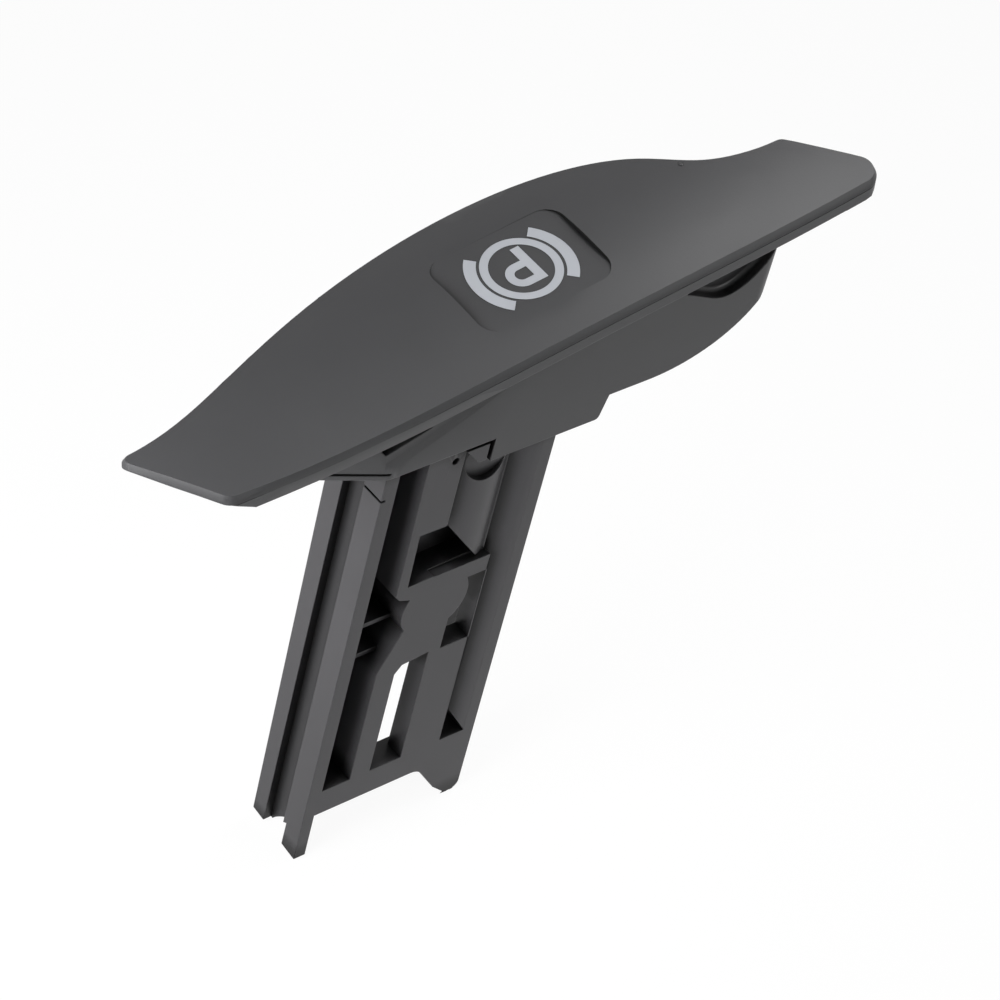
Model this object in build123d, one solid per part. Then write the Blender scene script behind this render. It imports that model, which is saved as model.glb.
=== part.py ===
from build123d import *
import math
import os

# Parking brake release handle: a T-shaped pull handle of black moulded plastic.
# A long grip plate with flared ends lies across the top of a flat guide stem.
# Everything is in millimetres. X runs along the grip, Y from the near edge to the far edge,
# and Z up the stem. The origin is on the stem's axis, at the rim where it enters the grip.

# Grip plate, in its own frame: centred on the printed symbol, X along the plate
grip_lean = 9.84              # degrees by which the right-hand end stands higher
symbol_x = 6.35               # symbol centre, from the stem's axis
symbol_z = 23.7               # symbol centre, above the rim
near_edge = 13.6              # near edge, measured from the symbol
left_tip = (-67.8, 0.2)       # far corner of the left-hand end
left_near_x = -58.3           # near corner of the left-hand end, before it is rounded
right_tip = (47.0, 0.2)       # far corner of the right-hand end
right_near_x = 58.8           # near corner of the right-hand end, before it is rounded
far_edge = [(-59.0, 1.2), (-46.7, 5.2), (-29.7, 11.1), (2.0, 15.7), (17.5, 13.5), (27.9, 8.4), (34.5, 3.1), (40.5, 0.9)]
tip_radius = 1.3
far_corner_radius = 2.0
left_corner_radius = 2.6
right_corner_radius = 2.8

# Crown of the plate: distance along it, rise of its centre line, drop at the near edge
crown_stations = [(-75, 3.2, 0.2), (-54, 1.9, 0.6), (-30, 0.7, 1.6), (0, 0.6, 1.8), (30, 0.4, 1.8), (50, 0.2, 1.3), (65, 0.8, 1.0)]
crown_reach = 20.0            # half width of the sections that carry the crown
section_foot = -60.0          # bottom of the sections, well under the plate
cover_thickness = 1.5
lip_thickness = 3.0
cover_edge = 0.45             # chamfers, standing for the small rounds of the real edges
lip_edge = 1.1
end_undercut = 52.0           # degrees by which the end walls lean in under the plate
left_end_top = (0.7, 2.3)     # height where that starts, at the near corner and at the tip
right_end_top = (-1.6, -0.6)

# Bare field round the symbol, sunk into the cover
field_left = 11.6
field_right = 11.1
field_far = 7.8
field_near = 8.0
field_radius = 3.0
field_floor = 0.0             # height of its floor in the grip's frame

# Hull: the body under the plate that takes the stem
hull_half_width = 8.2
hull_prow_x = -33.9           # pointed left-hand end, before it is rounded
hull_shoulder_x = -17.5       # where the prow starts to narrow
hull_bow_x = 51.3             # right-hand end
hull_back = [(hull_bow_x, -1.2), (42.0, -0.4), (30.0, 8.2)]   # far wall, drawn in under the plate
hull_back_round = 8.0
bow_start_x = 30.0            # where the bottom starts to curve up
bow_height = 14.5
bow_round = 3.0               # front corner of the bow, in plan
prow_round = 1.2
shoulder_round = 5.0
hull_wall = 1.8
rim_round = 0.5
rim_height = 0.9
rim_groove = 0.35

# Finger scoops, front and back, seen from the front
scoop_depth = 1.9
scoop_round = 0.8             # between a scoop's floor and its back wall
pocket_depth = 3.0
right_scoop = [(33.0, 15.4), (37.5, 13.3), (41.7, 12.1), (45.1, 13.2), (48.0, 15.8), (50.0, 19.0)]
left_scoop = [(-19.3, 2.0), (-14.0, 3.4), (-6.8, 6.5), (6.0, 12.6)]
left_scoop_depth = 0.6
left_scoop_slope = 62.0       # degrees, how flat the band above the crease lies
thumb_pocket = [(-20.7, 6.8), (-18.9, 4.8), (-11.5, 7.0), (-7.3, 11.2)]
scoop_top = 30.0

# Hollows under the hull
core_roof = 4.0
core_rib_x = 31.0
core_rib = 1.4
core_right_end = 39.0

# Collar under the hull that steadies the stem
collar_left = 1.3
collar_right = 22.6
collar_drop = 4.1
collar_taper = 1.1
collar_top = 1.0              # runs up into the hull, past the rounded rim
collar_round = 0.8

# Stem: outside
stem_half_width = 16.1
stem_half_depth = 6.0
stem_back_draft = 0.9         # how much nearer the back face is at the feet
stem_clearance = 0.15
stem_entry = 5.0              # length held inside the hull, above the rim
tenon_drop = 4.5              # the thinner top reaches this far below the rim
tenon_step = 0.1
bar_top = 68.7                # depths below the rim from here on
bar_bottom = 74.1
bar_depth = 4.4               # front to back, with the rear hollow open behind it
foot_tip = 83.0               # front foot
back_foot_tip = 81.9
foot_width = 2.2
foot_notch = [(-2.6, 78.0), (-0.5, 79.5), (1.9, 82.0)]
right_foot = [(9.9, 74.1), (5.5, 80.4), (2.7, 83.0)]     # distance from the right-hand side, depth
foot_curve = 3.0              # between the bar and the right-hand foot
foot_rounding = 1.6

# Stem: guide grooves down both narrow sides
groove_front = 1.9            # from the mid plane towards the front
groove_back = 2.3
groove_depth = 1.5
groove_wall = 1.1

# Stem: front face
web_thickness = 3.4           # front plate round the slot and windows
deep_left = -13.5             # deep channel on the left
deep_right = -8.3
back_skin = 1.8
boss_centre = (0.15, -34.3)
boss_radius = 6.2
cross_bar = (28.1, 31.4)
window_left = 3.85
window_right = 9.15
window_bottom = 45.6
slot_left = -4.45
slot_right = 1.5
slot_top = 45.4
upper_recess = [(-6.5, -17.6), (-1.3, -17.7), (6.5, -27.6), (-6.3, -28.1)]
upper_recess_depth = 5.0
channel_ribs = (36.0, 42.4)
channel_rib_thickness = 0.9
channel_rib_setback = 2.6

# Stem: half-round band and rounded right-hand rail
band_left = -1.5
band_right = 8.7
band_sink = 1.6
thumb_notch_centre = (4.0, -6.4)
thumb_notch_radius = 4.2
rail_foot = 9.2
rail_crest = 14.0
rail_sink = 2.1
rail_pocket = [(9.2, -61.5), (13.9, -68.7), (9.2, -68.7)]

# Stem: hollows from the back
rear_wall = 1.2
rear_split = 1.5

# Snap that holds the stem in the collar's notch
snap_outline = [(-3.5, -0.5), (0.7, -0.5), (0.7, -3.6), (-0.7, -3.7)]
snap_height = 2.0
latch_slit_z = -6.55
latch_slit_height = 0.35
latch_slit_depth = 0.8
pin_hole = (-3.2, -4.1)
pin_hole_radius = 0.6


def block(x0, x1, y0, y1, z0, z1):
    """Box given by its two corners."""
    return Pos(x0, y0, z0) * Box(x1 - x0, y1 - y0, z1 - z0, align=(Align.MIN, Align.MIN, Align.MIN))


def front_block(outline, y_front, y_back, taper=0):
    """Outline drawn in the front view, taken back from y_front to y_back."""
    return extrude(Plane.XZ.offset(-y_front) * outline, amount=y_front - y_back, taper=taper)


def grip_place():
    """Location of the grip's own frame."""
    return Pos(symbol_x, 0, symbol_z) * Rot(0, -grip_lean, 0)


def plate_outline():
    """Plan of the plate, in the grip's frame."""
    left_near = (left_near_x, -near_edge)
    right_near = (right_near_x, -near_edge)
    edge = Spline(left_tip, *far_edge, right_tip)
    edge += Line(right_tip, right_near)
    edge += Line(right_near, left_near)
    edge += Line(left_near, left_tip)
    outline = make_face(edge)
    corners = outline.vertices()
    outline = fillet(corners.sort_by_distance((*left_tip, 0))[0], tip_radius)
    outline = fillet(outline.vertices().sort_by_distance((*right_tip, 0))[0], far_corner_radius)
    outline = fillet(outline.vertices().sort_by_distance((*left_near, 0))[0], left_corner_radius)
    return fillet(outline.vertices().sort_by_distance((*right_near, 0))[0], right_corner_radius)


def under_crown(depth):
    """Everything below the crowned top surface, lowered by depth, in the grip's frame."""
    sections = []
    for x, rise, drop in crown_stations:
        top = rise - depth
        edge_top = top - drop * (crown_reach / near_edge) ** 2
        arc = ThreePointArc((-crown_reach, edge_top), (0, top), (crown_reach, edge_top))
        foot = [(crown_reach, section_foot), (-crown_reach, section_foot)]
        rest = Polyline((crown_reach, edge_top), *foot, (-crown_reach, edge_top))
        sections.append(Plane.YZ.offset(x) * make_face(arc + rest))
    return loft(sections)


def plate_layer(top_depth, bottom_depth):
    """Slice of the plate between two copies of the crowned surface, in the grip's frame."""
    column = extrude(plate_outline(), amount=30, both=True)
    return (column & under_crown(top_depth)) - under_crown(bottom_depth)


def end_cut(near_corner, tip, tops, side):
    """Cutter that makes one end wall lean in under the plate; side is -1 on the left, 1 on the right."""
    start = Vector(*near_corner, tops[0])
    along = Vector(*tip, tops[1]) - start
    outward = Vector(along.Y, -along.X, 0) * side * (1 if along.Y > 0 else -1)
    frame = Plane(origin=start - along / 2, x_dir=outward, z_dir=along)
    reach = 3 * (cover_thickness + lip_thickness)
    drop = reach / math.tan(math.radians(end_undercut)) * (1 if frame.y_dir.Z > 0 else -1)
    wedge = make_face(Polyline((reach, drop), (-reach, -drop), (reach, -drop), close=True))
    return extrude(frame * wedge, amount=2 * along.length)


def end_cuts():
    """Undercuts at both ends of the plate."""
    left = end_cut((left_near_x, -near_edge), left_tip, left_end_top, -1)
    right = end_cut((right_near_x, -near_edge), right_tip, right_end_top, 1)
    return left + right


def cover():
    """Top skin of the plate, with the bare field sunk into it."""
    skin = plate_layer(0, cover_thickness)
    skin = chamfer(skin.faces().sort_by(Axis.Z)[-1].outer_wire().edges(), cover_edge)
    field_size = (field_left + field_right, field_far + field_near)
    field_centre = ((field_right - field_left) / 2, (field_far - field_near) / 2)
    field = Pos(*field_centre, field_floor) * RectangleRounded(*field_size, field_radius)
    skin -= extrude(field, amount=10)
    return grip_place() * (skin - end_cuts())


def lip():
    """Lower half of the plate, drawn in under its edge, in the model's frame."""
    layer = plate_layer(cover_thickness, cover_thickness + lip_thickness)
    layer = chamfer(layer.faces().sort_by(Axis.Z)[0].outer_wire().edges(), lip_edge)
    return grip_place() * (layer - end_cuts())


def hull_plan():
    """Plan of the hull: a pointed prow on the left, a narrow bow on the right."""
    half = hull_half_width
    near = [(hull_prow_x, 0), (hull_shoulder_x, -half), (hull_bow_x, -half)]
    plan = make_face(Polyline(*near, *hull_back, (hull_shoulder_x, half), close=True))
    plan = fillet(plan.vertices().sort_by(Axis.X)[0], prow_round)
    shoulders = [v for v in plan.vertices() if abs(v.X - hull_shoulder_x) < 0.01]
    plan = fillet(shoulders, shoulder_round)
    plan = fillet(plan.vertices().sort_by_distance((hull_bow_x, -half, 0))[0], bow_round)
    bends = [v for v in plan.vertices() if any(abs(v.X - x) + abs(v.Y - y) < 0.01 for x, y in hull_back[1:])]
    return fillet(bends, hull_back_round)


def hull_side():
    """Hull in the front view: flat rim, and a bow that curves up on the right."""
    top = 2 * symbol_z
    bow = EllipticalCenterArc((bow_start_x, bow_height), hull_bow_x - bow_start_x, bow_height, start_angle=270, arc_size=90)
    left = hull_prow_x - prow_round
    frame = Polyline((hull_bow_x, bow_height), (hull_bow_x, top), (left, top), (left, 0), (bow_start_x, 0))
    return make_face(bow + frame)


def hull():
    """Solid hull under the plate, before its hollows."""
    half = hull_half_width
    body = front_block(hull_side(), -half, half)
    rims = body.edges().filter_by(lambda e: e.center().Z < bow_height / 2 and abs(abs(e.center().Y) - half) < 0.01)
    body = fillet(rims.filter_by(lambda e: e.center().X > hull_prow_x), rim_round)
    body &= extrude(hull_plan(), amount=100)
    ceiling = grip_place() * under_crown(cover_thickness + lip_thickness / 2)
    return body & ceiling


def hull_cores():
    """Hollows under the hull on both sides of the stem, with a rib across the right-hand one."""
    inner = extrude(offset(hull_plan(), -hull_wall, kind=Kind.INTERSECTION), amount=core_roof)
    inner = Pos(0, 0, -0.01) * inner
    kept_left = -stem_half_width - stem_clearance - hull_wall
    inner -= block(kept_left, collar_right + hull_wall, -50, 50, -1, 50)
    inner -= block(core_rib_x, core_rib_x + core_rib, -50, 50, -1, 50)
    return inner - block(core_right_end, hull_bow_x + 5, -50, 50, -1, 50)


def scoop_outline(lower_edge, top):
    """Closed outline above a lower edge, open towards the plate."""
    first = lower_edge[0]
    last = lower_edge[-1]
    return lower_edge, [last, (last[0], top), (first[0], top), first]


def both_sides(cutter):
    """A front cutter together with its copy at the back."""
    return cutter + mirror(cutter, Plane.XZ)


def right_scoop_cut():
    """Finger scoop in the front wall, behind the bow."""
    lower, rest = scoop_outline(right_scoop, scoop_top)
    outline = make_face(Spline(*lower) + Polyline(*rest))
    front = -hull_half_width
    scoop = front_block(outline, front - scoop_depth, front + scoop_depth)
    floor_edges = scoop.faces().sort_by(Axis.Y)[-1].edges().filter_by(GeomType.BSPLINE)
    return fillet(floor_edges, scoop_round)


def left_scoop_cuts():
    """Sloping band above the crease, and the small pocket over it, on both walls."""
    front = -hull_half_width
    band_edge = [(hull_prow_x - 5, left_scoop[0][1]), *left_scoop]
    lower, rest = scoop_outline(band_edge, 2 * scoop_top)
    band = make_face(Polyline(*lower) + Polyline(*rest))
    cuts = front_block(band, front, front + left_scoop_depth, left_scoop_slope)
    lower, rest = scoop_outline(thumb_pocket, scoop_top)
    pocket = make_face(Polyline(*lower) + Polyline(*rest))
    return both_sides(cuts + front_block(pocket, front, front + pocket_depth))


def rim_line():
    """Fine groove above the rim bead, round the prow."""
    ring = hull_plan() - offset(hull_plan(), -rim_groove, kind=Kind.INTERSECTION)
    ring = Pos(0, 0, rim_height) * extrude(ring, amount=rim_groove)
    return ring - block(hull_shoulder_x, hull_bow_x + 5, -50, 50, 0, 5)


def stem_socket():
    """Space for the stem's top, open at the rim and through the collar."""
    side = stem_half_width + stem_clearance
    front = -stem_half_depth - stem_clearance
    back = stem_half_depth - tenon_step + stem_clearance
    return block(-side, side, front, back, -collar_drop - 1, stem_entry)


def collar():
    """Skirt under the hull that steadies the right-hand side of the stem."""
    low_right = collar_right - collar_taper
    low_corner = (low_right, -collar_drop)
    corners = [(collar_left, collar_top), (collar_left, -collar_drop), low_corner, (collar_right, collar_top)]
    outline = make_face(Polyline(*corners, close=True))
    outline = fillet(outline.vertices().sort_by_distance((*low_corner, 0))[0], collar_round)
    return front_block(outline, -hull_half_width, hull_half_width)


def grip_shell():
    """Lip, hull and collar: one moulding."""
    body = hull() - right_scoop_cut() - left_scoop_cuts() - rim_line() - hull_cores()
    body += collar()
    body += lip()
    return body - stem_socket()


def stem_side():
    """Stem in the side view: back face with its draft, tenon at the top, feet cut at a slant."""
    tenon_back = stem_half_depth - tenon_step
    back = [(tenon_back, stem_entry), (tenon_back, -tenon_drop), (stem_half_depth, -tenon_drop)]
    feet = [(stem_half_depth - stem_back_draft, -back_foot_tip), (-stem_half_depth, -foot_tip)]
    profile = Polyline(*back, *feet, (-stem_half_depth, stem_entry), close=True)
    return extrude(Plane.YZ * make_face(profile), amount=2 * stem_half_width, both=True)


def stem_blank():
    """Stem before its pockets: front outline with two feet, taken to the side view's thickness."""
    w = stem_half_width
    low = -foot_tip - 1
    bar_end = (w - right_foot[0][0], -right_foot[0][1])
    toes = [(w - x, -z) for x, z in right_foot[1:]]
    left = [(-w, stem_entry), (-w, low), (-w + foot_width, low), (-w + foot_width, -bar_bottom)]
    right = [bar_end, *toes, (w, -foot_tip), (w, stem_entry)]
    outline = make_face(Polyline(*left, *right, close=True))
    outline = fillet(outline.vertices().sort_by_distance((*bar_end, 0))[0], foot_curve)
    for toe in (*toes, (w, -foot_tip)):
        outline = fillet(outline.vertices().sort_by_distance((*toe, 0))[0], foot_rounding)
    return front_block(outline, -stem_half_depth - 1, stem_half_depth + 1) & stem_side()


def guide_grooves():
    """Groove down each narrow side, and the curved notch between the two left-hand feet."""
    w = stem_half_width
    span = (-groove_front, groove_back, -foot_tip - 1, stem_entry + 1)
    left = block(-w - 1, -w + groove_depth, *span)
    right = block(w - groove_depth, w + 1, *span)
    front, middle, back = [(y, -z) for y, z in foot_notch]
    low = -foot_tip - 1
    notch = make_face(ThreePointArc(front, middle, back) + Polyline(back, (back[0], low), (front[0], low), front))
    return left + right + Pos(-w - 1, 0, 0) * extrude(Plane.YZ * notch, amount=foot_width + 2)


def deep_channel():
    """Deep channel down the left, widened beside the boss, with two cross ribs inside."""
    top = stem_entry - back_skin
    bend = -cross_bar[1] - 6.6
    straight = [(deep_left, top), (deep_right, top), (deep_right, -29.4), (-7.3, -30.5), (-5.0, -cross_bar[1])]
    lower = [(-5.0, bend), (deep_right, -window_bottom), (deep_right, -bar_top), (deep_left, -bar_top)]
    outline = make_face(Polyline(*straight, *lower, close=True)) - Pos(*boss_centre) * Circle(boss_radius)
    channel = front_block(outline, -stem_half_depth - 1, stem_half_depth - back_skin)
    for z in channel_ribs:
        rib_front = -stem_half_depth + channel_rib_setback
        channel -= block(deep_left, 0, rib_front, stem_half_depth, -z - channel_rib_thickness, -z)
    return channel


def front_openings():
    """Slot and windows through the front plate, and the recess under the upper panel."""
    front = -stem_half_depth - 1
    web_back = -stem_half_depth + web_thickness + 0.5
    chamfer = slot_left + 1.1
    slot = [(slot_left, -bar_top), (slot_right, -bar_top), (slot_right, -slot_top), (chamfer, -slot_top - 0.5), (slot_left, -slot_top - 2)]
    cuts = front_block(make_face(Polyline(*slot, close=True)), front, web_back)
    window = [(window_left, -window_bottom), (window_right, -window_bottom), (window_right, -cross_bar[1]), (window_left, -cross_bar[1])]
    window = make_face(Polyline(*window, close=True)) - Pos(*boss_centre) * Circle(boss_radius)
    cuts += front_block(window, front, web_back)
    recess = make_face(Polyline(*upper_recess, close=True))
    return cuts + front_block(recess, front, -stem_half_depth + upper_recess_depth)


def rear_hollows():
    """Two hollows moulded from the back, leaving a wall round the deep channel."""
    left = deep_right + rear_wall
    right = stem_half_width - groove_depth - groove_wall
    inner = -5.0 + rear_wall + 0.6
    top = -cross_bar[1]
    low = -bar_top
    lower = [(inner, top), (inner, -41.5), (left, -window_bottom - rear_wall), (left, low), (right, low), (right, top)]
    lower_cut = front_block(make_face(Polyline(*lower, close=True)), -stem_half_depth + web_thickness, stem_half_depth + 1)
    mouth = block(left, right, -stem_half_depth + bar_depth, stem_half_depth + 1, -foot_tip - 1, low)
    upper_floor = -stem_half_depth + upper_recess_depth + rear_split
    upper_cut = block(left, right, upper_floor, stem_half_depth + 1, -cross_bar[0], 0)
    return lower_cut + mouth + upper_cut


def band():
    """Half-round band down the upper front, cut off along the recess below it."""
    chord = (band_right - band_left) / 2
    radius = (chord ** 2 + band_sink ** 2) / (2 * band_sink)
    middle = (band_left + band_right) / 2
    rod = Pos(middle, -stem_half_depth + radius, -40) * Cylinder(radius, 100)
    shape = [(band_left, stem_entry), (band_right, stem_entry), (band_right, -cross_bar[0]), upper_recess[2], upper_recess[1]]
    tongue = front_block(make_face(Polyline(*shape, close=True)), -stem_half_depth, -stem_half_depth + band_sink + 0.2)
    return rod & tongue


def band_bed():
    """Space in front of the band and down to its edges."""
    return block(band_left, rail_foot, -stem_half_depth - 1, -stem_half_depth + band_sink, -cross_bar[0], stem_entry + 1)


def rail_slope():
    """Convex slope from the right-hand land down to the rail's foot."""
    front = -stem_half_depth
    middle = (rail_foot + 1.9, front + rail_sink * 0.32)
    slope = ThreePointArc((rail_foot, front + rail_sink), middle, (rail_crest, front))
    rest = Polyline((rail_crest, front), (rail_crest, front - 1), (rail_foot, front - 1), (rail_foot, front + rail_sink))
    height = bar_top + stem_entry + 1
    cut = Pos(0, 0, -bar_top) * extrude(make_face(slope + rest), amount=height)
    pocket = make_face(Polyline(*rail_pocket, close=True))
    return cut + front_block(pocket, front - 1, front + web_thickness + 0.5)


def small_cuts():
    """Thumb notch in the band, slit in the left flange and the pin hole."""
    front = -stem_half_depth
    notch = front_block(Pos(*thumb_notch_centre) * Circle(thumb_notch_radius), front - 1, front + band_sink * 0.7)
    slit_side = -stem_half_width + latch_slit_depth
    slit = block(-stem_half_width - 1, slit_side, front - 1, -1.2, latch_slit_z - latch_slit_height, latch_slit_z)
    hole = front_block(Pos(*pin_hole) * Circle(pin_hole_radius), front - 1, front + 2)
    return notch + slit + hole


def snap():
    """Wedge that springs into the collar's notch."""
    return front_block(make_face(Polyline(*snap_outline, close=True)), -stem_half_depth - snap_height, -stem_half_depth + 0.5)


def stem():
    """Guide stem: one moulding."""
    body = stem_blank() - guide_grooves() - deep_channel() - rear_hollows()
    body -= band_bed()
    body -= rail_slope()
    body += band()
    body -= front_openings()
    body -= small_cuts()
    return body + snap()


def main():
    os.makedirs("parts", exist_ok=True)
    pieces = {"grip_cover": cover(), "grip_shell": grip_shell(), "stem": stem()}
    for name, piece in pieces.items():
        piece.label = name
        export_step(piece, f"parts/{name}.step")
        print(name, "solids", len(piece.solids()), "volume", round(piece.volume))


main()
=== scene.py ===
# %% [markdown]
# The object is a pull handle for a parking brake: a long grip plate with flared ends, a hull under it and
# a flat guide stem, all of black moulded plastic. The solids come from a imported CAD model, which is
# loaded first and never moved. This file gives them their finish, adds what is only print or fine trim,
# and sets the light and the camera.

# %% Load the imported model
import math

import bmesh
import bpy
from mathutils import Matrix, Vector
from mathutils.bvhtree import BVHTree


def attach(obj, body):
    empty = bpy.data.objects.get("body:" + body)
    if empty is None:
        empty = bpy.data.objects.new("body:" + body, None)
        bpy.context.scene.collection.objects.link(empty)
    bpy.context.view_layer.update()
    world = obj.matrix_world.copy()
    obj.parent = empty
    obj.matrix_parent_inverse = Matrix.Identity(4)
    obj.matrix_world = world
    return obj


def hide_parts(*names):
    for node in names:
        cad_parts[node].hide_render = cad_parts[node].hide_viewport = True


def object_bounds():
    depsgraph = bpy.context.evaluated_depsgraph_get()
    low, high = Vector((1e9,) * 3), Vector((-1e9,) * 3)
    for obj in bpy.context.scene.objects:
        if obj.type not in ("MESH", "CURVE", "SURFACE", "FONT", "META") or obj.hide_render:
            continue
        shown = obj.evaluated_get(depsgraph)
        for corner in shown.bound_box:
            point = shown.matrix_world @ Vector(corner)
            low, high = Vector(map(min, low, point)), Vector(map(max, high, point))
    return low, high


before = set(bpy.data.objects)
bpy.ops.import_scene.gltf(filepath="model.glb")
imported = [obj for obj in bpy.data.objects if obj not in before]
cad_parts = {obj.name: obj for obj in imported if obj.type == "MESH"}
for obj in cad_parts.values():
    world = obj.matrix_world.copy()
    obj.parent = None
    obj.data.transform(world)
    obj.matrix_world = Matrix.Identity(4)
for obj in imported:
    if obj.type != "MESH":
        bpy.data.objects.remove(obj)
cad_low, cad_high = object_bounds()
print("CAD box", [round(v, 4) for v in (*cad_low, *cad_high)])

# %% [markdown]
# Everything is in metres. The grip plate leans: its right-hand end stands higher than its left. Its own
# frame is centred on the printed symbol, so print and trim on the plate are drawn flat there and then
# turned into place.

# %% The grip's own frame
MM = 0.001
LEAN = math.radians(9.84)
SYMBOL_CENTRE = Vector((6.35, 0.0, 23.7)) * MM
grip_to_model = Matrix.Translation(SYMBOL_CENTRE) @ Matrix.Rotation(-LEAN, 4, "Y")
print("grip X axis in the model", grip_to_model.to_3x3() @ Vector((1, 0, 0)))

# %% [markdown]
# A mesh piece is made in four steps: a bmesh is shaped, its place is put into its vertices, it becomes an
# object at the origin, and it rides on the one body of this part. One helper does the last three, so that
# every piece is made in the same way.

# %% Turn a bmesh into a piece
def add_piece(name, shape, place=Matrix.Identity(4)):
    bmesh.ops.transform(shape, matrix=place, verts=shape.verts)
    bmesh.ops.recalc_face_normals(shape, faces=shape.faces)
    mesh = bpy.data.meshes.new(name)
    shape.to_mesh(mesh)
    shape.free()
    piece = bpy.data.objects.new(name, mesh)
    bpy.context.scene.collection.objects.link(piece)
    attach(piece, "root")
    print(name, "faces", len(mesh.polygons), "size mm", [round(v / MM, 2) for v in piece.dimensions])
    return piece

# %% [markdown]
# Moulded edges are never sharp. Each solid gets a copy with its doubled points merged, shown in place of
# the solid. Its chamfers could be cut into many small faces, but they are shaded as rounds instead: a
# Weighted Normal modifier lets the large face beside a chamfer set the shading at its border, so that the
# light runs softly over the narrow face.

# %% Helpers for the copies
MERGE_DISTANCE = 0.002 * MM
CORNER_ANGLE = math.radians(50)
LARGE_FACE_WEIGHT = 80
grip_up = grip_to_model.to_3x3() @ Vector((0, 0, 1))

def merged_shape(node):
    shape = bmesh.new()
    shape.from_mesh(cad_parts[node].data)
    bmesh.ops.remove_doubles(shape, verts=shape.verts, dist=MERGE_DISTANCE)
    shape.normal_update()
    return shape

def is_corner(edge):
    return len(edge.link_faces) == 2 and edge.calc_face_angle() > CORNER_ANGLE

def soft_piece(shape, node):
    for face in shape.faces:
        face.smooth = True
    for edge in shape.edges:
        edge.smooth = not is_corner(edge)
    piece = add_piece(node + "_soft", shape)
    shading = piece.modifiers.new("soft_edges", "WEIGHTED_NORMAL")
    shading.weight = LARGE_FACE_WEIGHT
    shading.keep_sharp = True
    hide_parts(node)
    return piece

# %% [markdown]
# Some steps pick faces by where they lie on the plate and by how they are tilted. The tilt is 1 for a
# face that looks straight up from the plate, 0 for an upright side, and -1 for one that looks straight
# down.

# %% Where a face lies, and its tilt
LEVEL = 0.9

def in_grip(face):
    return grip_to_model.inverted() @ face.calc_center_median()

def tilt(face):
    return face.normal.dot(grip_up)

# %% [markdown]
# Square outer corners of the shell and the stem get a tiny round from bevel, as a real mould leaves.
# Inner corners stay as they are, because a round there shows little and can cross itself in a narrow
# pocket. The seam where the cover lies on the shell stays sharp too, so that it is tight.

# %% Shell and stem
SHELL_ROUND, STEM_ROUND = 0.15 * MM, 0.12 * MM
SEAM_BAND = 4 * MM

def at_seam(edge):
    return any(tilt(face) > LEVEL and in_grip(face).z > -SEAM_BAND for face in edge.link_faces)

def rounded_corners(shape, width, keep_seam=False):
    corners = [edge for edge in shape.edges if is_corner(edge) and edge.is_convex]
    if keep_seam:
        corners = [edge for edge in corners if not at_seam(edge)]
    bmesh.ops.bevel(shape, geom=corners, offset=width, offset_type="OFFSET", segments=2, profile=0.5,
                    affect="EDGES", clamp_overlap=False, material=-1)
    shape.normal_update()
    print("outer corners rounded", len(corners))

shell_shape = merged_shape("grip_shell")
rounded_corners(shell_shape, SHELL_ROUND, keep_seam=True)
shell_piece = soft_piece(shell_shape, "grip_shell")
stem_shape = merged_shape("stem")
rounded_corners(stem_shape, STEM_ROUND)
stem_piece = soft_piece(stem_shape, "stem")

# %% [markdown]
# Fingers feel a full round along the top of the plate, and it throws a bright line. The solid has a small
# chamfer there. Its copy keeps the top border of the chamfer and lets the foot down the side of the
# plate, which makes the face steep and wide enough to catch the light from the front. The lower border of
# the side goes down as well, so that the seam is only a fine line. Moving points does this with no new
# faces.

# %% The cover with its long round
FOOT_DROP = 0.4 * MM
SEAM_DROP = 0.34 * MM
FIELD_REACH = 18 * MM, 10.8 * MM
SIDE_TILT, TOP_TILT = 0.3, 0.8

def is_rim_chamfer(face):
    place = in_grip(face)
    at_field = abs(place.x) < FIELD_REACH[0] and abs(place.y) < FIELD_REACH[1]
    return SIDE_TILT < tilt(face) < TOP_TILT and not at_field

def is_undercut(face):
    return -LEVEL < tilt(face) < -SIDE_TILT

def is_foot(point):
    faces = point.link_faces
    return any(is_rim_chamfer(face) for face in faces) and not any(tilt(face) >= TOP_TILT for face in faces)

def is_side_border(point):
    faces = point.link_faces
    return any(is_undercut(face) for face in faces) and any(abs(tilt(face)) < SIDE_TILT for face in faces)

cover_shape = merged_shape("grip_cover")
foot_points = [point for point in cover_shape.verts if is_foot(point)]
side_points = [point for point in cover_shape.verts if is_side_border(point)]
for points, drop in ((foot_points, FOOT_DROP), (side_points, SEAM_DROP)):
    bmesh.ops.translate(cover_shape, verts=points, vec=-grip_up * drop)
cover_shape.normal_update()
print("foot points", len(foot_points), "side points", len(side_points))
surface = BVHTree.FromBMesh(cover_shape)
cover_piece = soft_piece(cover_shape, "grip_cover")

# %% [markdown]
# A small speck sits on the top, a mark from the mould. It is a flat dome, made from a sphere pressed flat
# and laid on the surface at the point where a ray from above meets it. A bump in the material would not
# show in the outline.

# %% Moulding speck on the top
SPECK_AT = 31.4 * MM, 3.6 * MM
SPECK_RADIUS, SPECK_HEIGHT = 0.4 * MM, 0.12 * MM
ABOVE_THE_PLATE = 10 * MM

above = grip_to_model @ Vector((*SPECK_AT, ABOVE_THE_PLATE))
hit, normal, _, _ = surface.ray_cast(above, -grip_up)
speck = bmesh.new()
bmesh.ops.create_uvsphere(speck, u_segments=16, v_segments=8, radius=SPECK_RADIUS)
bmesh.ops.scale(speck, verts=speck.verts, vec=(1, 1, SPECK_HEIGHT / SPECK_RADIUS))
for face in speck.faces:
    face.smooth = True
speck_place = Matrix.Translation(hit) @ normal.to_track_quat("Z", "Y").to_matrix().to_4x4()
speck_piece = add_piece("moulding_speck", speck, speck_place)

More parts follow.
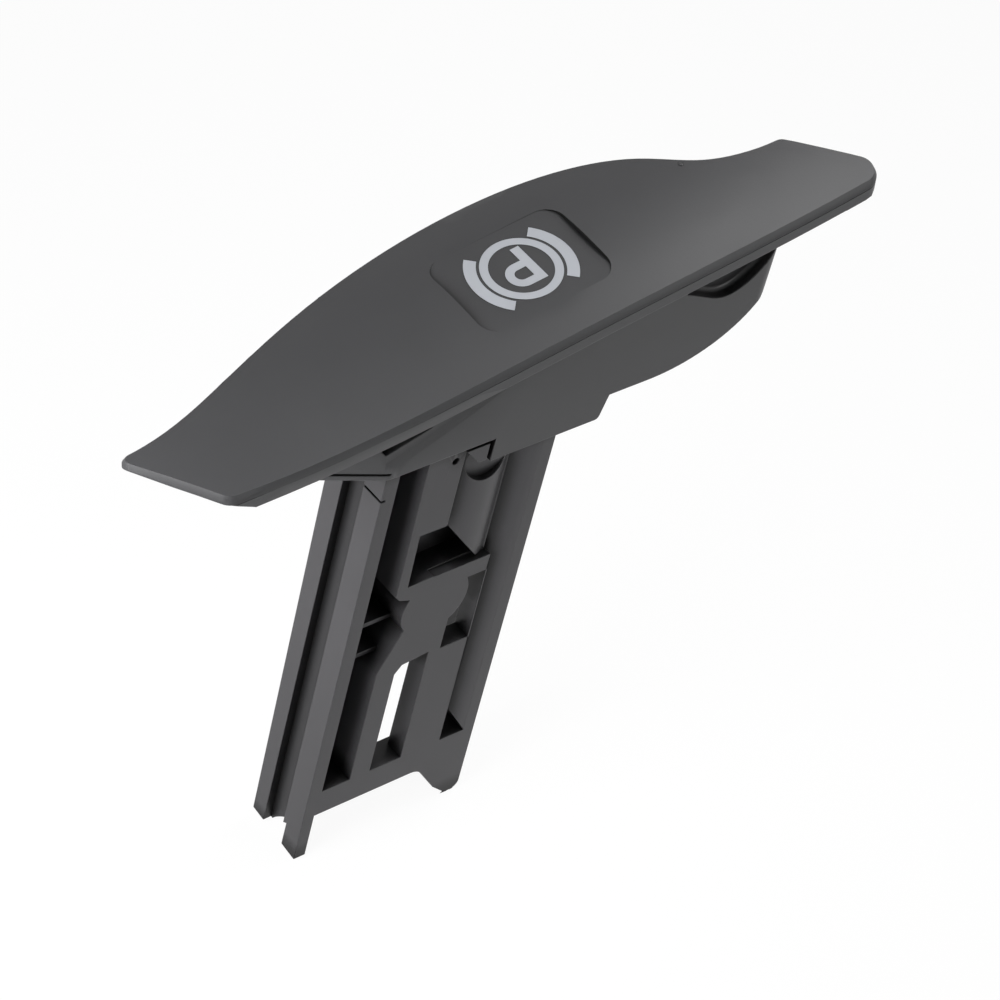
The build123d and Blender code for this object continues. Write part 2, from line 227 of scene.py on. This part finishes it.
# %% [markdown]
# The symbol is the usual one for a parking brake: a letter P in a ring between two brake shoes. On the
# real handle it is printed in pale grey ink. Here it is a film a few hundredths of a millimetre thick, so
# that it casts no shadow but is real geometry. The ring is a strip spun a full turn, and each shoe is the
# same kind of strip spun through a quarter turn, which keeps the curves even.

# %% Rings and shoes by spin
INK = 0.03 * MM
INK_LIFT = 0.01 * MM
RING_INNER, RING_OUTER = 4.67 * MM, 5.92 * MM
SHOE_INNER, SHOE_OUTER = 6.36 * MM, 8.15 * MM
SHOE_HALF_ANGLE = math.radians(45.8)
FULL_TURN = 2 * math.pi
RING_STEPS, ARC_STEPS = 96, 32

def spun_strip(shape, inner, outer, start, angle, steps):
    low, high = INK_LIFT, INK_LIFT + INK
    corners = [(inner, 0, low), (outer, 0, low), (outer, 0, high), (inner, 0, high)]
    turn = Matrix.Rotation(start, 4, "Z")
    face = shape.faces.new([shape.verts.new(turn @ Vector(c)) for c in corners])
    full = angle == FULL_TURN
    geometry = [face, *face.edges, *face.verts]
    bmesh.ops.spin(shape, geom=geometry, cent=(0, 0, 0), axis=(0, 0, 1), angle=angle, steps=steps,
                   use_merge=full)
    if full:
        shape.faces.remove(face)

symbol = bmesh.new()
spun_strip(symbol, RING_INNER, RING_OUTER, 0, FULL_TURN, RING_STEPS)
for side in (0, math.pi):
    spun_strip(symbol, SHOE_INNER, SHOE_OUTER, side - SHOE_HALF_ANGLE, 2 * SHOE_HALF_ANGLE, ARC_STEPS)
print("ring and shoes, faces", len(symbol.faces))

# %% [markdown]
# The letter P is an upright bar and a bowl. The bowl is the same spun strip, half a turn, joined to the
# bar by two short straight arms, so all strokes are equally wide. A font would bring its own proportions.
# On this handle the letter stands upright as seen from the far side, so it is drawn turned by half a
# turn.

# %% The letter P
P_LEFT, P_TOP, P_BOTTOM = -2.26 * MM, 3.21 * MM, -3.78 * MM
P_BAR = 1.49 * MM
BOWL_OUTER, BOWL_INNER = 2.28 * MM, 0.96 * MM
BOWL_X = 0.73 * MM

def slab(shape, x0, x1, y0, y1):
    size = Vector((x1 - x0, y1 - y0, INK))
    centre = Vector(((x0 + x1) / 2, (y0 + y1) / 2, INK_LIFT + INK / 2))
    place = Matrix.Translation(centre) @ Matrix.Diagonal((*size, 1))
    bmesh.ops.create_cube(shape, size=1, matrix=place)

letter = bmesh.new()
bowl_y = P_TOP - BOWL_OUTER
spun_strip(letter, BOWL_INNER, BOWL_OUTER, -math.pi / 2, math.pi, ARC_STEPS)
bmesh.ops.translate(letter, verts=letter.verts, vec=(BOWL_X, bowl_y, 0))
slab(letter, P_LEFT, P_LEFT + P_BAR, P_BOTTOM, P_TOP)
slab(letter, P_LEFT + P_BAR, BOWL_X, bowl_y + BOWL_INNER, P_TOP)
slab(letter, P_LEFT + P_BAR, BOWL_X, bowl_y - BOWL_OUTER, bowl_y - BOWL_INNER)
bmesh.ops.rotate(letter, verts=letter.verts, cent=(0, 0, 0), matrix=Matrix.Rotation(math.pi, 3, "Z"))
symbol_piece = add_piece("symbol_rings", symbol, grip_to_model)
letter_piece = add_piece("symbol_letter", letter, grip_to_model)

# %% [markdown]
# The plastic is dark and satin. Its colour and its roughness change a little over centimetres, which
# keeps large faces from looking like paint. Both follow one soft noise on Object coordinates, because a
# painted image would need its own layout on every piece.

# %% Patches of colour and roughness
TINT_SPREAD = 0.1
ROUGH_SPREAD = 0.05

def object_noise(nodes, links, scale, detail):
    place = nodes.new("ShaderNodeTexCoord")
    noise = nodes.new("ShaderNodeTexNoise")
    noise.inputs["Scale"].default_value = scale
    noise.inputs["Detail"].default_value = detail
    links.new(place.outputs["Object"], noise.inputs["Vector"])
    return noise.outputs["Fac"]

def patchy_colour(nodes, links, patches, colour):
    tint = nodes.new("ShaderNodeMix")
    tint.data_type = "RGBA"
    tint.inputs["A"].default_value = (*[c * (1 - TINT_SPREAD) for c in colour], 1)
    tint.inputs["B"].default_value = (*[c * (1 + TINT_SPREAD) for c in colour], 1)
    links.new(patches, tint.inputs["Factor"])
    return tint.outputs["Result"]

def patchy_roughness(nodes, links, patches, roughness):
    rough = nodes.new("ShaderNodeMapRange")
    rough.inputs["To Min"].default_value = roughness - ROUGH_SPREAD
    rough.inputs["To Max"].default_value = roughness + ROUGH_SPREAD
    links.new(patches, rough.inputs["Value"])
    return rough.outputs["Result"]

# %% [markdown]
# Deep pockets and grooves get little light on the real object, and dark plastic bounces little of it on.
# So shade is painted into the colour: the tint darkens towards near black where nearby walls leave little
# open space, which an Ambient Occlusion node measures on the spot. The power makes the change steep, so
# that open faces keep their colour.

# %% Painted shade in pockets
POCKET_REACH = 4 * MM
POCKET_STEEPNESS = 5
PAINTED_SHADE_COLOUR = (0.002, 0.002, 0.002, 1)

def painted_pocket_shade(nodes, links, colour):
    openness = nodes.new("ShaderNodeAmbientOcclusion")
    openness.samples = 8
    openness.inputs["Distance"].default_value = POCKET_REACH
    steeper = nodes.new("ShaderNodeMath")
    steeper.operation = "POWER"
    steeper.inputs[1].default_value = POCKET_STEEPNESS
    shade = nodes.new("ShaderNodeMix")
    shade.data_type = "RGBA"
    # Painted shade: a near-black colour is mixed in where the AO node finds walls close by.
    shade.inputs["A"].default_value = PAINTED_SHADE_COLOUR
    links.new(openness.outputs["AO"], steeper.inputs[0])
    links.new(steeper.outputs["Value"], shade.inputs["Factor"])
    links.new(colour, shade.inputs["B"])
    return shade.outputs["Result"]

# %% [markdown]
# The mould is spark-eroded, which leaves a fine grain that softens reflections. The grain is bump from a
# fine noise, as real dents this small would need millions of faces.

# %% Fine grain
GRAIN_DEPTH = 0.02 * MM
GRAIN_DETAIL = 2

def grain_bump(nodes, links, strength, size):
    bump = nodes.new("ShaderNodeBump")
    bump.inputs["Strength"].default_value = strength
    bump.inputs["Distance"].default_value = GRAIN_DEPTH
    links.new(object_noise(nodes, links, 1 / size, GRAIN_DETAIL), bump.inputs["Height"])
    return bump.outputs["Normal"]

# %% [markdown]
# The three plastics and the ink are one recipe with other values. The cover is the darkest and roughest
# of the plastics, with the deepest grain, and the stem is the smoothest, because it slides. The ink is
# pale and matt.

# %% Moulded plastic
SPECULAR = 0.22
PATCH_SCALE, PATCH_DETAIL = 90, 3

def moulded_plastic(name, colour, roughness, grain, grain_size):
    material = bpy.data.materials.new(name)
    material.use_nodes = True
    nodes, links = material.node_tree.nodes, material.node_tree.links
    shader = nodes["Principled BSDF"]
    shader.inputs["Specular IOR Level"].default_value = SPECULAR
    patches = object_noise(nodes, links, PATCH_SCALE, PATCH_DETAIL)
    # The base colour carries painted shade in pockets and grooves, on top of the random patches.
    tint = painted_pocket_shade(nodes, links, patchy_colour(nodes, links, patches, colour))
    links.new(tint, shader.inputs["Base Color"])
    links.new(patchy_roughness(nodes, links, patches, roughness), shader.inputs["Roughness"])
    links.new(grain_bump(nodes, links, grain, grain_size), shader.inputs["Normal"])
    print(name, "colour", colour, "roughness", roughness)
    return material

def dress(piece, material):
    piece.data.materials.clear()
    piece.data.materials.append(material)

cover_finish = moulded_plastic("cover_plastic", (0.029, 0.029, 0.0305), 0.48, 0.4, 0.35 * MM)
shell_finish = moulded_plastic("shell_plastic", (0.05, 0.05, 0.052), 0.42, 0.3, 0.35 * MM)
stem_finish = moulded_plastic("stem_plastic", (0.046, 0.045, 0.048), 0.4, 0.2, 0.4 * MM)
ink_finish = moulded_plastic("symbol_print", (0.3, 0.312, 0.335), 0.6, 0.2, 0.2 * MM)
for piece in (cover_piece, speck_piece):
    dress(piece, cover_finish)
dress(shell_piece, shell_finish)
dress(stem_piece, stem_finish)
for piece in (symbol_piece, letter_piece):
    dress(piece, ink_finish)

# %% [markdown]
# The camera stands to the left, in front and above, with a long lens and a small roll. Its place was
# worked out from the photograph: the ring of the symbol, its two shoes and the stem's edges fix the
# direction, the distance and the roll. The numbers below are that result. Back, right and below are the
# picture's own directions in the model, and the eye is set so that the symbol lands on its pixel.

# %% Camera
AZIMUTH = math.radians(-48.53)
ELEVATION = math.radians(42.0)
ROLL = math.radians(-15.32)
FOCAL_PIXELS = 3827.35
IMAGE_PIXELS = 1000
DISTANCE = 530.35 * MM
SYMBOL_PIXEL = (521.55, 268.63)

flat = math.cos(ELEVATION)
back = Vector((math.sin(AZIMUTH) * flat, -math.cos(AZIMUTH) * flat, math.sin(ELEVATION)))
forward = -back
level = forward.cross(Vector((0, 0, 1))).normalized()
down = forward.cross(level)
right = math.cos(ROLL) * level + math.sin(ROLL) * down
below = -math.sin(ROLL) * level + math.cos(ROLL) * down
offset = [(pixel - IMAGE_PIXELS / 2) / FOCAL_PIXELS * DISTANCE for pixel in SYMBOL_PIXEL]
eye = SYMBOL_CENTRE - right * offset[0] - below * offset[1] - forward * DISTANCE

SENSOR_WIDTH = 36
camera_data = bpy.data.cameras.new("camera")
camera_data.sensor_width = SENSOR_WIDTH
camera_data.lens = FOCAL_PIXELS / IMAGE_PIXELS * SENSOR_WIDTH
camera_data.clip_start, camera_data.clip_end = 0.01, 10
camera = bpy.data.objects.new("camera", camera_data)
bpy.context.scene.collection.objects.link(camera)
axes = Matrix((right, -below, back)).transposed()
camera.matrix_world = Matrix.Translation(eye) @ axes.to_4x4()
bpy.context.scene.camera = camera
print("camera at", [round(v, 4) for v in eye], "lens", round(camera_data.lens, 1))

# %% [markdown]
# The background is white. A white floor and a white sky as bright as that would flood the object with
# light, so they show their white only to rays that come straight from the camera or by way of a
# reflection. The Light Path node tells these rays from the rest.

# %% Rays that see the white
def seen_directly(nodes, links):
    path = nodes.new("ShaderNodeLightPath")
    total = path.outputs["Is Camera Ray"]
    for kind in ("Is Glossy Ray", "Is Transmission Ray"):
        either = nodes.new("ShaderNodeMath")
        either.operation = "MAXIMUM"
        links.new(total, either.inputs[0])
        links.new(path.outputs[kind], either.inputs[1])
        total = either.outputs["Value"]
    return total

# %% [markdown]
# The floor lies just under the stem's feet. A small share of it stays plain pale paint for every ray, so
# that it takes a faint soft shadow. The rest is white light for the rays above.

# %% Floor
FLOOR_SHARE = 0.06
FLOOR_GREY = 0.85
FLOOR_ROUGHNESS = 0.9
FLOOR_HALF_WIDTH = 3.0
FLOOR_GAP = 0.2 * MM

floor_material = bpy.data.materials.new("floor")
floor_material.use_nodes = True
nodes, links = floor_material.node_tree.nodes, floor_material.node_tree.links
plain = nodes["Principled BSDF"]
plain.inputs["Base Color"].default_value = (FLOOR_GREY, FLOOR_GREY, FLOOR_GREY, 1)
plain.inputs["Roughness"].default_value = FLOOR_ROUGHNESS
white = nodes.new("ShaderNodeEmission")
white.inputs["Color"].default_value = (1, 1, 1, 1)
both = nodes.new("ShaderNodeMixShader")
share = nodes.new("ShaderNodeMath")
share.operation = "MULTIPLY"
share.inputs[1].default_value = 1 - FLOOR_SHARE
links.new(seen_directly(nodes, links), share.inputs[0])
links.new(share.outputs["Value"], both.inputs["Fac"])
links.new(plain.outputs["BSDF"], both.inputs[1])
links.new(white.outputs["Emission"], both.inputs[2])
links.new(both.outputs["Shader"], nodes["Material Output"].inputs["Surface"])

floor_shape = bmesh.new()
bmesh.ops.create_grid(floor_shape, x_segments=1, y_segments=1, size=FLOOR_HALF_WIDTH)
bmesh.ops.translate(floor_shape, verts=floor_shape.verts, vec=(0, 0, cad_low.z - FLOOR_GAP))
floor_mesh = bpy.data.meshes.new("floor")
floor_shape.to_mesh(floor_mesh)
floor_shape.free()
floor = bpy.data.objects.new("floor", floor_mesh)
bpy.context.scene.collection.objects.link(floor)
dress(floor, floor_material)
print("floor at", round(cad_low.z - FLOOR_GAP, 4))

# %% [markdown]
# The sky is white to the same rays. To all others it is a weak even light, which keeps the far sides of
# the object from going black.

# %% World
SKY_FILL = 0.1

world = bpy.data.worlds.new("world")
world.use_nodes = True
bpy.context.scene.world = world
nodes, links = world.node_tree.nodes, world.node_tree.links
sky = nodes["Background"]
sky.inputs["Color"].default_value = (1, 1, 1, 1)
sky_level = nodes.new("ShaderNodeMapRange")
sky_level.inputs["To Min"].default_value = SKY_FILL
sky_level.inputs["To Max"].default_value = 1.0
links.new(seen_directly(nodes, links), sky_level.inputs["Value"])
links.new(sky_level.outputs["Result"], sky.inputs["Strength"])
print("sky fill", SKY_FILL)

# %% [markdown]
# Studio light. A small lamp near each end of the grip gives the plate lighter ends and a darker middle,
# as in the photograph, and the left one also lights the stem's narrow side. One far off in front lights
# the stem's face, and a large weak one hangs above. All are soft, because a small hard lamp glares in
# some views.

# %% Lamps
def soft_lamp(name, where, aim, size, power):
    data = bpy.data.lights.new(name, "AREA")
    data.shape = "DISK"
    data.size = size
    data.energy = power
    lamp = bpy.data.objects.new(name, data)
    bpy.context.scene.collection.objects.link(lamp)
    lamp.location = where
    lamp.rotation_mode = "QUATERNION"
    lamp.rotation_quaternion = (Vector(aim) - Vector(where)).to_track_quat("-Z", "Y")
    print(name, "metres across", size, "watts", power)

soft_lamp("top_light", (-0.1, 0.25, 0.9), (0, 0, 0), 0.6, 0.3)
soft_lamp("front_light", (0.5, -0.75, 0.1), (0, 0, 0), 0.3, 2.5)
soft_lamp("right_light", (0.13, 0.0, 0.17), (0.06, 0, 0.03), 0.12, 0.42)
soft_lamp("left_light", (-0.15, -0.015, 0.05), (-0.06, 0, 0.0), 0.1, 0.5)

bpy.context.scene.view_settings.view_transform = "Standard"
